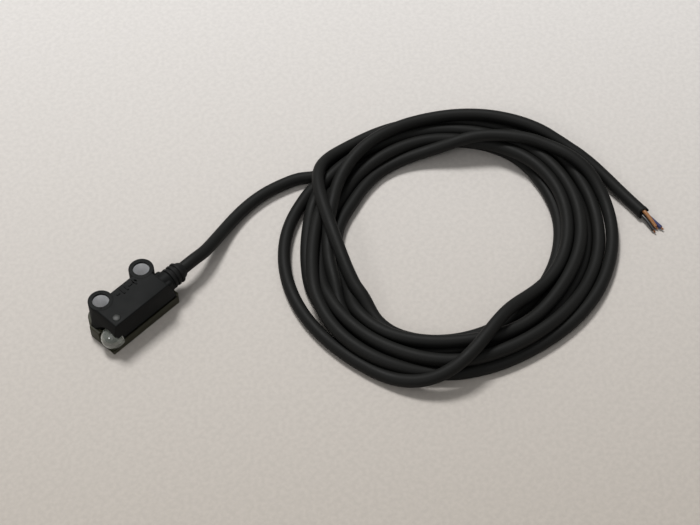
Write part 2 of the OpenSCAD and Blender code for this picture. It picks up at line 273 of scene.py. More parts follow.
def block(low, high, rounding=0.0, nose=0.0, tail=0.0, keep_bottom=False):
    """A block between two corners whose ends may lean in towards the top, with rounded edges."""
    bm = bmesh.new()
    bmesh.ops.create_cube(bm, size=1)
    for v in bm.verts:
        top = v.co.z > 0
        if v.co.x > 0:
            x = high[0] - (nose if top else 0)
        else:
            x = low[0] + (tail if top else 0)
        v.co = (x, high[1] if v.co.y > 0 else low[1], high[2] if top else low[2])
    if rounding:
        edges = [e for e in bm.edges if not (keep_bottom and all(v.co.z < low[2] + 1e-6 for v in e.verts))]
        round_edges(bm, edges, rounding)
    return bm


def turned(profile, axis="Z", centre=(0, 0, 0), steps=64):
    """A solid of revolution from (radius, along) points, closed at both ends where the radius is 0."""
    bm = bmesh.new()
    points = [bm.verts.new((r, 0, a)) for r, a in profile]
    edges = [bm.edges.new(pair) for pair in zip(points, points[1:])]
    bmesh.ops.spin(bm, geom=points + edges, cent=(0, 0, 0), axis=(0, 0, 1), dvec=(0, 0, 0), angle=math.tau,
                   steps=steps, use_merge=True, use_normal_flip=False, use_duplicate=False)
    bmesh.ops.remove_doubles(bm, verts=bm.verts[:], dist=1e-5)
    if axis == "X":
        bmesh.ops.rotate(bm, verts=bm.verts[:], cent=(0, 0, 0), matrix=Matrix.Rotation(math.pi / 2, 3, "Y"))
    bmesh.ops.translate(bm, verts=bm.verts[:], vec=centre)
    bmesh.ops.recalc_face_normals(bm, faces=bm.faces[:])
    return bm


def rod(radius, low, high, rounding=0.0):
    """Profile of a plain rod with a rounded far end."""
    if not rounding:
        return [(0, low), (radius, low), (radius, high), (0, high)]
    arc = [(radius - rounding + rounding * math.cos(t), high - rounding + rounding * math.sin(t))
           for t in (0, math.pi / 8, math.pi / 4, 3 * math.pi / 8, math.pi / 2)]
    return [(0, low), (radius, low)] + arc + [(0, high)]


def shape(body, steps):
    """Joins to and cuts from a body, in order. Each step is a way, UNION or DIFFERENCE, and a tool."""
    for way, tool in steps:
        m = body.modifiers.new(way.lower(), "BOOLEAN")
        m.operation = way
        m.solver = "EXACT"
        m.object = tool
    baked = bpy.data.meshes.new_from_object(body.evaluated_get(bpy.context.evaluated_depsgraph_get()))
    body.modifiers.clear()
    old = body.data
    body.data = baked
    baked.name = old.name + "_mesh"
    bpy.data.meshes.remove(old)
    for _, tool in steps:
        data = tool.data
        bpy.data.objects.remove(tool)
        bpy.data.meshes.remove(data)
    return body


# ---------------------------------------------------------------------------------------------------------
# The head's measures, read from the part
# ---------------------------------------------------------------------------------------------------------

class Head:
    """Places on the head that several pieces share, in millimetres."""

    def __init__(self):
        s = sizes()
        base_low, base_high = box_mm("base_cover")
        case_low, case_high = box_mm("upper_case")
        self.nose, self.tail = base_high.x, base_low.x
        self.side, self.base_top = base_high.y, base_high.z
        self.case_low, self.top = case_low.z, case_high.z
        self.holes = []
        for node in ("front_sleeve", "rear_sleeve"):
            low, high = box_mm(node)
            self.holes.append(((low.x + high.x) / 2, (low.y + high.y) / 2))
            self.sleeve_r = (high.x - low.x) / 2
        self.row = self.holes[0][1]
        self.boss_r = self.sleeve_r + 0.02 + s.boss_wall
        self.ear_r = self.boss_r + s.ear_step
        low, high = box_mm("front_lens")
        self.lens_r = (high.z - low.z) / 2
        self.lens = (high.y - self.lens_r, high.z - self.lens_r)
        self.lens_front, self.lens_back = high.x, low.x
        low, high = box_mm("cable_entry")
        self.exit = low.x
        self.cable = ((low.y + high.y) / 2, (low.z + high.z) / 2)
        low, high = box_mm("indicator_window")
        self.window_top = high.z
        low, high = box_mm("strain_relief")
        self.relief_in = high.x
        self.collar = case_low.x


def bores(head, low, high, radius):
    """Upright tools at both mounting holes."""
    return [blank(turned(rod(radius, low, high), centre=(x, y, 0)), "bore") for x, y in head.holes]


def lens_tool(head, extra):
    """A tool along the lens's axis, open past the nose."""
    return blank(turned(rod(head.lens_r + extra, head.lens_back - 0.05, head.nose + 2), "X",
                        (0, head.lens[0], head.lens[1])), "lens_room")


# ---------------------------------------------------------------------------------------------------------
# Operators, one for each piece
# ---------------------------------------------------------------------------------------------------------

class SensorOperator(bpy.types.Operator):
    """Base of the sensor's operators."""
    bl_options = {"REGISTER", "UNDO"}


class SENSOR_OT_camera(SensorOperator):
    """Place the camera that looks down on the head and its lead"""
    bl_idname = "sensor.camera"
    bl_label = "Camera"

    def execute(self, context):
        place = Vector((0.1051, 0.1525, 0.2459))
        forward = Vector((-0.4522, -0.4178, -0.788)).normalized()
        right = Vector((-0.6787, 0.7344, 0)).normalized()
        up = right.cross(forward)
        data = bpy.data.cameras.new("camera")
        data.sensor_width = 36
        data.lens = 82.3
        data.clip_start = 0.01
        made = bpy.data.objects.new("camera", data)
        made.matrix_world = Matrix.Translation(place) @ Matrix((right, up, -forward)).transposed().to_4x4()
        context.scene.collection.objects.link(made)
        context.scene.camera = made
        return {"FINISHED"}


# Centre of the coil in plan, and the two directions that its angles are counted in
COIL = Vector((-52, 33, 0))
ACROSS = Vector((-0.6787, 0.7344, 0))
AWAY = Vector((-0.7344, -0.6787, 0))
DOWN = 1.25
SECOND = 3.42
THIRD = 5.6

# Each turn as (angle in degrees, distance from the centre, height), running clockwise seen from above
TURNS = [
    # along the outside of the far edge, then low and in the middle
    [(147, 30.7, DOWN), (134, 31, DOWN), (118, 31.3, DOWN), (90, 31.2, DOWN), (60, 31.8, DOWN), (30, 29.3, DOWN),
     (0, 27.4, DOWN), (-30, 26, DOWN), (-60, 27.1, DOWN), (-90, 28.9, DOWN), (-120, 30.7, DOWN),
     (-150, 28.3, DOWN), (-180, 26.8, DOWN), (-210, 26.6, 1.6)],
    # second layer, then low on the inner edge
    [(120, 27, 2.6), (90, 27.3, SECOND), (60, 28.5, SECOND), (30, 28.2, SECOND), (0, 26.1, SECOND),
     (-30, 24.8, SECOND), (-60, 25.8, SECOND), (-90, 25.6, SECOND), (-120, 26.9, SECOND), (-135, 26, 2.9),
     (-150, 23.9, 1.6), (-180, 21.6, DOWN), (-210, 21.9, DOWN)],
    # from the inner edge out across the others, to the outer edge on the right
    [(120, 22.6, 1.4), (105, 22.9, 2.2), (90, 23.7, 3.6), (76, 25.2, 5), (62, 27, 5.8), (49, 29.1, 5.9), (38, 31.2, 5.0),
     (28, 32.6, 3.6), (16, 33.4, 2), (0, 32.7, DOWN), (-15, 31.3, DOWN), (-30, 29.4, DOWN), (-60, 29.6, DOWN),
     (-90, 31.4, DOWN), (-105, 32, 2.5), (-120, 32.2, SECOND), (-135, 31.2, 3.2), (-150, 28.6, 3.1),
     (-180, 25.5, SECOND), (-210, 26.2, 2.6)],
    # low and inside, then up and over the left side, and a tight turn back under at the far edge
    [(120, 25.7, DOWN), (90, 26, DOWN), (60, 27.2, DOWN), (30, 24.5, DOWN), (0, 22.2, DOWN), (-30, 21.3, DOWN),
     (-60, 22.3, DOWN), (-90, 23.9, DOWN), (-118, 25.2, DOWN), (-130, 24.9, 1.6), (-139, 23.4, 3.4),
     (-150, 22, 5), (-168, 21.2, 6.2), (-188, 23.2, 6.6), (-197, 25.4, 6.6), (-205, 28, 6.4),
     (-212, 30.8, 5.6), (-218, 31, 4.6), (-226, 29, 3.6)],
    # second layer on the outside, then low at the left
    [(122, 29.6, SECOND), (90, 29.9, SECOND), (60, 31.1, SECOND), (30, 30.6, 2.8), (0, 30, DOWN),
     (-30, 28.4, 1.6), (-60, 28.4, SECOND), (-90, 30.1, SECOND), (-120, 29.4, SECOND), (-150, 26, 2.4),
     (-180, 24.1, DOWN), (-210, 23.9, 1.7)],
    # second layer on the inside, then over the near edge, and out on its own round the left
    [(120, 24.4, 3), (90, 24.7, SECOND), (60, 26.1, SECOND), (30, 25.7, SECOND), (0, 23.5, SECOND),
     (-30, 22.3, SECOND), (-45, 21.7, 3.8), (-53, 21.2, 5.2), (-61, 21.4, 6.4), (-69, 23.3, 7), (-76, 26.6, 7),
     (-83, 30, 6.6), (-89, 32.7, 5.4), (-95, 34.6, 3.9), (-101, 35.1, 2.4), (-108, 34.3, 1.4),
     (-118, 33.4, DOWN), (-139, 33.1, DOWN), (-160, 32.5, DOWN), (-180, 31.7, DOWN), (-196, 30.2, DOWN),
     (-212, 27.9, DOWN)],
    # low in the middle, then up at the left
    [(130, 28, DOWN), (90, 28.6, DOWN), (60, 29.7, DOWN), (30, 27, DOWN), (0, 24.8, DOWN), (-30, 23.8, DOWN),
     (-60, 24.8, DOWN), (-90, 26.4, DOWN), (-120, 28.2, DOWN), (-150, 25, 2.6), (-180, 23, SECOND),
     (-197, 23.6, 4)],
    # over the top of the far edge to the free end
    [(148, 24.8, 5), (134, 26.2, 5.5), (113, 27.4, THIRD), (99, 28.6, THIRD), (87, 29.6, THIRD), (73, 30.8, THIRD),
     (60, 31.8, THIRD), (50, 32.5, 5.4)],
]


def routes():
    """The lead's route from the head to the coil, and from the coil to the cut end, in millimetres."""
    h = Head()
    y, z = h.cable
    lead = [(h.exit, y, z), (h.exit - 3, y, z), (-17, 1.6, DOWN + 2.45), (-21, 0.4, DOWN + 1.35),
            (-25, -0.8, DOWN + 0.45), (-29, -1.6, DOWN + 0.1), (-33, -1.9, DOWN), (-37, -1.6, DOWN),
            (-41, -0.6, DOWN), (-44, 0.6, DOWN)]
    tail = [(-85.4, 34, DOWN + 2.75), (-86, 38, DOWN + 2.25), (-86.2, 42, DOWN + 1.45), (-85.9, 46, DOWN + 0.75),
            (-85.3, 50, DOWN + 0.25), (-84.6, 54, DOWN), (-84, 57, DOWN)]
    return [Vector(p) for p in lead], [Vector(p) for p in tail]


def along(points, step):
    """A smooth line through points, as points at even steps."""
    fine = []
    for i in range(len(points) - 1):
        a, b, c, d = (points[max(0, min(len(points) - 1, i + k))] for k in (-1, 0, 1, 2))
        for t in np.linspace(0, 1, 24, endpoint=False):
            fine.append(0.5 * (2 * b + (c - a) * t + (2 * a - 5 * b + 4 * c - d) * t * t
                               + (3 * b - a - 3 * c + d) * t ** 3))
    fine.append(points[-1])
    fine = np.array(fine)
    gone = np.concatenate([[0], np.cumsum(np.linalg.norm(np.diff(fine, axis=0), axis=1))])
    count = int(round(gone[-1] / step))
    even = np.linspace(0, gone[-1], count + 1)
    return np.stack([np.interp(even, gone, fine[:, k]) for k in range(3)], axis=1)


def lead_line():
    """The whole lead's centreline before it settles: its run in, its turns and its free end."""
    lead, tail = routes()
    marks = np.array([(360 * k - a, r, z) for k, turn in enumerate(TURNS) for a, r, z in turn])
    angles = np.arange(marks[0, 0], marks[-1, 0] + 1.5, 3.0)
    weights = np.exp(-0.5 * (np.arange(-6, 7) / 1.4) ** 2)
    weights /= weights.sum()
    r, z = (np.convolve(np.pad(np.interp(angles, marks[:, 0], marks[:, k]), 6, mode="edge"), weights, "valid")
            for k in (1, 2))
    turns = [COIL + ACROSS * r[i] * math.cos(math.radians(-a)) + AWAY * r[i] * math.sin(math.radians(-a))
             + Vector((0, 0, z[i])) for i, a in enumerate(angles)]
    return along([np.array(p) for p in lead + turns + tail], 1.2)


def settle(line, across, rounds, held_start, held_end):
    """Lets the lead's turns rest on each other and on the table without cutting into one another."""
    line = line.copy()
    start = line.copy()
    count = len(line)
    moves = np.ones(count)
    moves[:held_start] = 0
    moves[count - held_end:] = 0
    apart = int(round(3.2 * across / 1.2))
    first, second = np.triu_indices(count, apart)
    near = None
    for turn in range(rounds):
        if turn % 12 == 0:
            close = np.linalg.norm(line[first] - line[second], axis=1) < 1.7 * across
            near = (first[close], second[close])
        pull = 0.04 * (start - line)
        pull[:, 2] -= 0.012
        for k, firm in ((1, 0.3), (3, 0.12), (6, 0.04)):
            pull[2 * k:-2 * k] += firm * ((4 * (line[k:-3 * k] + line[3 * k:-k]) - line[:-4 * k] - line[4 * k:]) / 6
                                          - line[2 * k:-2 * k])
        line += pull * moves[:, None]
        for _ in range(3):
            gap = line[near[0]] - line[near[1]]
            far = np.linalg.norm(gap, axis=1)
            hit = far < across
            if hit.any():
                i, j = near[0][hit], near[1][hit]
                push = gap[hit] / np.maximum(far[hit], 1e-6)[:, None] * (0.36 * (across - far[hit]))[:, None]
                total = np.zeros_like(line)
                share = np.ones(count)
                np.add.at(total, i, push)
                np.add.at(total, j, -push)
                np.add.at(share, i, 0.5)
                np.add.at(share, j, 0.5)
                line += total / share[:, None] * 1.25 * moves[:, None]
            line[:, 2] = np.maximum(line[:, 2], across / 2)
    return line


class SENSOR_OT_lead(SensorOperator):
    """Lay the lead from the strain relief, through its coil, to its cut end"""
    bl_idname = "sensor.lead"
    bl_label = "Lead"

    def execute(self, context):
        s = sizes()
        line = lead_line()
        line = settle(line, s.cable, 400, 34, 18)
        data = bpy.data.curves.new("lead", "CURVE")
        data.dimensions = "3D"
        data.bevel_depth = s.cable / 2 * MM
        data.bevel_resolution = 6
        data.use_fill_caps = True
        strand = data.splines.new("POLY")
        strand.points.add(len(line) - 1)
        for p, q in zip(strand.points, line):
            p.co = (q[0] * MM, q[1] * MM, q[2] * MM, 1)
        strand.use_smooth = True
        made = bpy.data.objects.new("lead", data)
        context.scene.collection.objects.link(made)
        data.materials.append(jacket_vinyl())
        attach(made, "root")
        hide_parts("cable_lead", "cable_coil", "cable_tail")
        return {"FINISHED"}


def core_route(side, up, length, drop):
    """Centreline of one core beyond the cut jacket: it springs a little aside and bends down to the table."""
    _, tail = routes()
    end = tail[-1]
    heading = (tail[-1] - tail[-2]).normalized()
    across = Vector((0, 0, 1)).cross(heading)
    points = []
    for i in range(9):
        t = i / 8
        fall = t * t * (3 - 2 * t)
        points.append(end + heading * (t * length - 0.8) + across * (side * (0.42 + 0.4 * t * t))
                      + Vector((0, 0, up + drop * math.sin(math.pi * t) - (up + DOWN - 0.6) * fall)))
    return points


def tube(points, radius, name, material, rounds=12, closed_ends=True):
    """A round tube along points, made from one circle that is extruded and turned from point to point."""
    bm = bmesh.new()
    made = bmesh.ops.create_circle(bm, cap_ends=closed_ends, segments=rounds, radius=radius)
    ring = made["verts"]
    previous = Vector((0, 0, 1))
    centre = Vector((0, 0, 0))
    for i, p in enumerate(points):
        ahead = points[min(i + 1, len(points) - 1)] - points[max(i - 1, 0)]
        ahead.normalize()
        if i:
            edges = [e for e in bm.edges if all(v in ring for v in e.verts)]
            out = bmesh.ops.extrude_edge_only(bm, edges=edges)
            ring = [g for g in out["geom"] if isinstance(g, bmesh.types.BMVert)]
        turn = previous.rotation_difference(ahead).to_matrix()
        bmesh.ops.rotate(bm, verts=ring, cent=centre, matrix=turn)
        bmesh.ops.translate(bm, verts=ring, vec=p - centre)
        previous, centre = ahead, p.copy()
    if closed_ends:
        edges = [e for e in bm.edges if all(v in ring for v in e.verts)]
        bmesh.ops.edgeloop_fill(bm, edges=edges)
    bmesh.ops.recalc_face_normals(bm, faces=bm.faces[:])
    return finished(bm, name, material, 50)


class SENSOR_OT_cut_end(SensorOperator):
    """Make the three cores and the bare strands at the lead's cut end"""
    bl_idname = "sensor.cut_end"
    bl_label = "Cut end"

    def execute(self, context):
        s, c = sizes(), colours()
        radius = s.core / 2
        made = {}
        # Soft vinyl insulation, drawn over the strands: smooth and slightly waxy
        for name, tone, side, up, length, drop in (
                ("brown_core_cut", c.brown, 0.15, 0.42, 4.6, 0.5),
                ("blue_core_cut", c.blue, 1.0, -0.3, 5.4, 0.2),
                ("black_core_cut", c.black, -1.0, -0.28, 5.0, 0.25)):
            vinyl = finish(name.replace("core_cut", "vinyl_insulation_extruded"), shade(tone, 1.25),
                           shade(tone, 0.8), 0.5, (0.28, 0.42), 0.004, shader={"IOR": 1.5})
            route = core_route(side, up, length, drop)
            piece = tube(route, radius, name, vinyl)
            node = name.replace("_cut", "_end")
            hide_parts(node)
            made[name] = route
        # Bare tinned-free copper strands: warm metal with fine lines along the twist
        copper = finish("copper_strand_drawn", linear("#d79a6c"), linear("#8c5634"), 0.12, (0.25, 0.4), 0.01,
                        shader={"Metallic": 1.0})
        bm = bmesh.new()
        for route in made.values():
            ahead = (route[-1] - route[-2]).normalized()
            for k in range(7):
                turn = math.tau * k / 6
                side = Vector((0, 0, 1)).cross(ahead).normalized()
                off = (side * math.cos(turn) + ahead.cross(side) * math.sin(turn)) * (0.12 if k < 6 else 0)
                out = bmesh.ops.create_cone(bm, cap_ends=True, segments=8, radius1=0.06, radius2=0.05, depth=0.9)
                matrix = Vector((0, 0, 1)).rotation_difference(ahead).to_matrix()
                bmesh.ops.rotate(bm, verts=out["verts"], cent=(0, 0, 0), matrix=matrix)
                bmesh.ops.translate(bm, verts=out["verts"], vec=route[-1] + ahead * (0.12 + 0.05 * (k % 3)) + off)
        strands = finished(bm, "copper_cut", copper)
        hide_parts("copper_tips")
        # The jacket's cut rim: a short lip that the knife left proud of the skin
        _, tail = routes()
        end = tail[-1]
        heading = (tail[-1] - tail[-2]).normalized()
        outer = s.cable / 2
        bm = turned([(outer - 0.45, -0.5), (outer + 0.04, -0.6), (outer + 0.07, -0.2), (outer + 0.02, 0.12),
                     (outer - 0.2, 0.2), (outer - 0.45, 0.05), (outer - 0.45, -0.5)], "X", steps=40)
        for v in bm.verts:
            around = math.atan2(v.co.z, v.co.y)
            v.co.z = max(v.co.z, -outer)
            if v.co.x > 0:
                v.co.x += 0.2 * math.sin(2 * around + 0.7) + 0.12 * math.sin(5 * around)
        flat = Matrix.Rotation(math.atan2(heading.y, heading.x), 3, "Z")
        bmesh.ops.rotate(bm, verts=bm.verts[:], cent=(0, 0, 0), matrix=flat)
        bmesh.ops.translate(bm, verts=bm.verts[:], vec=end)
        rim = finished(bm, "jacket_rim", jacket_vinyl())
        return {"FINISHED"}


class SENSOR_OT_case(SensorOperator):
    """Mould the black case with its bosses, its socket and its openings"""
    bl_idname = "sensor.case"
    bl_label = "Case"

    def execute(self, context):
        s, h = sizes(), Head()
        tail, nose = h.tail + s.base_lip, h.nose - s.base_lip
        y0 = h.row
        bm = block((tail, y0, h.case_low), (nose, h.side, h.top), s.edge_round, s.nose_rake, s.tail_rake, True)
        body = blank(bm, "case")
        rise = h.top - h.case_low
        share = (h.top - s.wall - h.case_low) / rise
        hollow = blank(block((tail + s.wall, y0 + s.wall, h.case_low - 0.01),
                             (nose - s.wall, h.side - s.wall, h.top - s.wall), 0, s.nose_rake * share,
                             s.tail_rake * share), "hollow")
        steps = [("DIFFERENCE", hollow)]
        for x, y in h.holes:
            boss = turned(rod(h.boss_r, h.case_low, h.top + 0.04, 0.16), centre=(x, y, 0))
            steps.append(("UNION", blank(boss, "boss")))
        y, z = h.cable
        collar = [(0, h.collar), (1.9, h.collar), (2.02, h.collar + 0.1), (2.12, h.collar + 0.25), (2.12, -4.4),
                  (0, -4.4)]
        steps.append(("UNION", blank(turned(collar, "X", (0, y, z)), "socket")))
        shoulder = block((h.tail + 0.3, y - 2.1, h.case_low + 0.2), (h.tail + 2.4, y + 2.1, z + 1.75), 0.5)
        steps.append(("UNION", blank(shoulder, "shoulder")))
        steps += [("DIFFERENCE", t) for t in bores(h, -1, h.top - 0.43, h.sleeve_r + 0.02)]
        steps += [("DIFFERENCE", t) for t in bores(h, -1, h.top + 1, h.sleeve_r - s.sleeve_wall - 0.02)]
        steps.append(("DIFFERENCE", lens_tool(h, 0.05)))
        # The mouth round the lens flares forward, so that the dome looks out of the corner
        flare = [(0, h.nose - 1.45), (h.lens_r + 0.05, h.nose - 1.45), (h.lens_r + 2.4, h.nose + 0.5),
                 (0, h.nose + 0.5)]
        steps.append(("DIFFERENCE", blank(turned(flare, "X", (0, h.lens[0], h.lens[1])), "mouth")))
        neck = blank(turned(rod(1.64, h.collar - 1, -3.6), "X", (0, y, z)), "neck")
        steps.append(("DIFFERENCE", neck))
        wx = h.nose - s.base_lip - s.nose_rake - s.wall - 0.05 - s.window / 2
        wy = h.side - s.wall - 0.05 - s.window / 2
        steps.append(("DIFFERENCE", blank(turned(rod(s.window / 2 + 0.02, h.top - 2, h.top + 1),
                                                 centre=(wx, wy, 0)), "window_room")))
        # A small round sink beside the rear boss, where the moulding was fed
        x, y = h.holes[1]
        sink = [(0, h.top - 0.3), (0.42, h.top - 0.3), (0.55, h.top + 0.5), (0, h.top + 0.5)]
        steps.append(("DIFFERENCE", blank(turned(sink, centre=(x + 2.9, y + 1.35, 0), steps=32), "gate_mark")))
        shape(body, steps)
        finish_piece(body, moulded_black_plastic(), 32)
        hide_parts("upper_case")
        return {"FINISHED"}


class SENSOR_OT_marks(SensorOperator):
    """Raise the plain bars between the bosses"""
    bl_idname = "sensor.marks"
    bl_label = "Raised bars"

    def execute(self, context):
        h = Head()
        bm = bmesh.new()
        x0 = (h.holes[0][0] + h.holes[1][0]) / 2
        for i, (wide, deep) in enumerate(((0.34, 1.5), (0.9, 0.34), (0.34, 1.2), (0.34, 1.5), (0.7, 0.34))):
            bar = block((-wide / 2, -deep / 2, h.top - 0.05), (wide / 2, deep / 2, h.top + 0.15), 0.05)
            bmesh.ops.translate(bar, verts=bar.verts[:], vec=(x0 - 2.1 + i * 1.0, h.row + 1.35, 0))
            part = bpy.data.meshes.new("bar")
            bar.to_mesh(part)
            bar.free()
            bm.from_mesh(part)
            bpy.data.meshes.remove(part)
        bars = finished(bm, "case_bars", moulded_black_plastic())
        return {"FINISHED"}


class SENSOR_OT_base_cover(SensorOperator):
    """Mould the smoked base cover with its two ears, its tray and its board posts"""
    bl_idname = "sensor.base_cover"
    bl_label = "Base cover"

    def execute(self, context):
        s, h = sizes(), Head()
        body = blank(block((h.tail, h.row, 0), (h.nose, h.side, h.base_top), 0.18), "base")
        steps = []
        for x, y in h.holes:
            ear = [(0, 0), (h.ear_r - 0.15, 0)] + rod(h.ear_r, 0.12, h.base_top, 0.15)[1:]
            steps.append(("UNION", blank(turned(ear, centre=(x, y, 0)), "ear")))
        tray = blank(block((h.tail + s.wall + s.base_lip, h.row + s.wall, s.floor),
                           (h.nose - s.wall - s.base_lip, h.side - s.wall, h.base_top + 1), 0.1), "tray")
        guards = bores(h, -2, h.base_top + 2, h.boss_r)
        shape(tray, [("DIFFERENCE", g) for g in guards])
        steps.append(("DIFFERENCE", tray))
        steps += [("DIFFERENCE", t) for t in bores(h, -1, h.base_top + 1, h.sleeve_r + 0.02)]
        steps.append(("DIFFERENCE", lens_tool(h, 0.05)))
        shape(body, steps)
        finish_piece(body, smoked_clear_plastic(), 32)
        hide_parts("base_cover")
        return {"FINISHED"}


class SENSOR_OT_sleeves(SensorOperator):
    """Turn the two metal sleeves in the mounting holes"""
    bl_idname = "sensor.sleeves"
    bl_label = "Sleeves"

    def execute(self, context):
        s, h = sizes(), Head()
        for (x, y), node in zip(h.holes, ("front_sleeve", "rear_sleeve")):
            outer, inner = h.sleeve_r, h.sleeve_r - s.sleeve_wall
            lip = [(outer, 0.1), (outer, h.top - 0.48), (outer - 0.03, h.top - 0.45), (inner + 0.06, h.top - 0.45),
                   (inner + 0.01, h.top - 0.48), (inner, h.top - 0.54)]
            foot = [(inner, 0.2), (inner + 0.06, 0.05), (inner + 0.14, 0.0), (outer - 0.08, 0), (outer, 0.1)]
            profile = lip + [(inner, h.top * 0.5)] + foot
            piece = finished(turned(profile, centre=(x, y, 0), steps=72), node + "_turned", nickel_plate(), 40)
            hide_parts(node)
        return {"FINISHED"}


class SENSOR_OT_lens(SensorOperator):
    """Polish the clear lens: a dome on a short barrel, flat behind"""
    bl_idname = "sensor.lens"
    bl_label = "Lens"

    def execute(self, context):
        h = Head()
        y, z = h.lens
        centre = h.lens_front - h.lens_r
        dome = [(h.lens_r * math.cos(t), centre + h.lens_r * math.sin(t)) for t in
                (math.radians(a) for a in range(0, 91, 6))]
        dome[-1] = (0, h.lens_front)
        profile = [(0, h.lens_back), (h.lens_r - 0.08, h.lens_back), (h.lens_r, h.lens_back + 0.08)] + dome
        body = blank(turned(profile, "X", (0, y, z)), "lens")
        shape(body, [("DIFFERENCE", t) for t in bores(h, -1, h.top + 1, h.boss_r + 0.05)])
        finish_piece(body, lens_acrylic(), 50)
        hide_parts("front_lens")
        return {"FINISHED"}


class SENSOR_OT_window(SensorOperator):
    """Mould the indicator window: a small dome over its light guide"""
    bl_idname = "sensor.window"
    bl_label = "Indicator window"

    def execute(self, context):
        s, h = sizes(), Head()
        low, high = box_mm("indicator_window")
        wx = h.nose - s.base_lip - s.nose_rake - s.wall - 0.05 - s.window / 2
        wy = h.side - s.wall - 0.05 - s.window / 2
        r = s.window / 2
        guide = high.z - 0.18 - 1.9
        dome = [(r, h.top - 0.02), (r - 0.05, h.top + 0.07), (r * 0.7, h.top + 0.12), (r * 0.35, h.top + 0.16),
                (0, high.z)]
        body = blank(turned([(0, guide), (r, guide)] + dome, centre=(wx, wy, 0), steps=48), "window")
        foot = blank(block((low.x, low.y + 0.02, low.z), (wx, high.y - 0.02, guide + 0.5), 0.05), "guide")
        shape(body, [("UNION", foot)])
        # Clear acrylic light guide, moulded: a bright rim round a darker middle
        finish_piece(body, finish("acrylic_light_guide_moulded", linear("#5c5f5a"), linear("#3f423e"), 0.8,
                                  (0.45, 0.55), 0.002, shader={"IOR": 1.49, "Transmission Weight": 0.85,
                                                              "Specular IOR Level": 0.06}), 40)
        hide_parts("indicator_window")
        return {"FINISHED"}


class SENSOR_OT_relief(SensorOperator):
    """Mould the ribbed strain relief that tapers on to the lead"""
    bl_idname = "sensor.relief"
    bl_label = "Strain relief"

    def execute(self, context):
        s, h = sizes(), Head()
        y, z = h.cable
        bore, neck, rib, groove = s.cable / 2 + 0.02, 1.62, 2.12, 1.82
        profile = [(bore, h.relief_in), (1.97, h.relief_in), (1.97, h.relief_in - 0.6), (neck, h.relief_in - 0.6),
                   (neck, h.collar - 0.02)]
        x = h.collar - 0.05
        for _ in range(3):
            profile += [(groove, x), (rib - 0.1, x - 0.02), (rib, x - 0.14), (rib, x - 0.44), (rib - 0.1, x - 0.58),
                        (groove, x - 0.62)]
            x -= 0.95
        profile += [(groove - 0.03, x + 0.2), (1.56, h.exit + 0.25), (1.42, h.exit + 0.03), (1.34, h.exit),
                    (bore, h.exit + 0.04), (bore, h.relief_in)]
        body = blank(turned(profile, "X", (0, y, z), 72), "relief")
        shape(body, [("DIFFERENCE", t) for t in bores(h, -1, h.top + 1, h.boss_r + 0.05)])
        finish_piece(body, relief_elastomer(), 40)
        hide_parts("strain_relief")
        return {"FINISHED"}


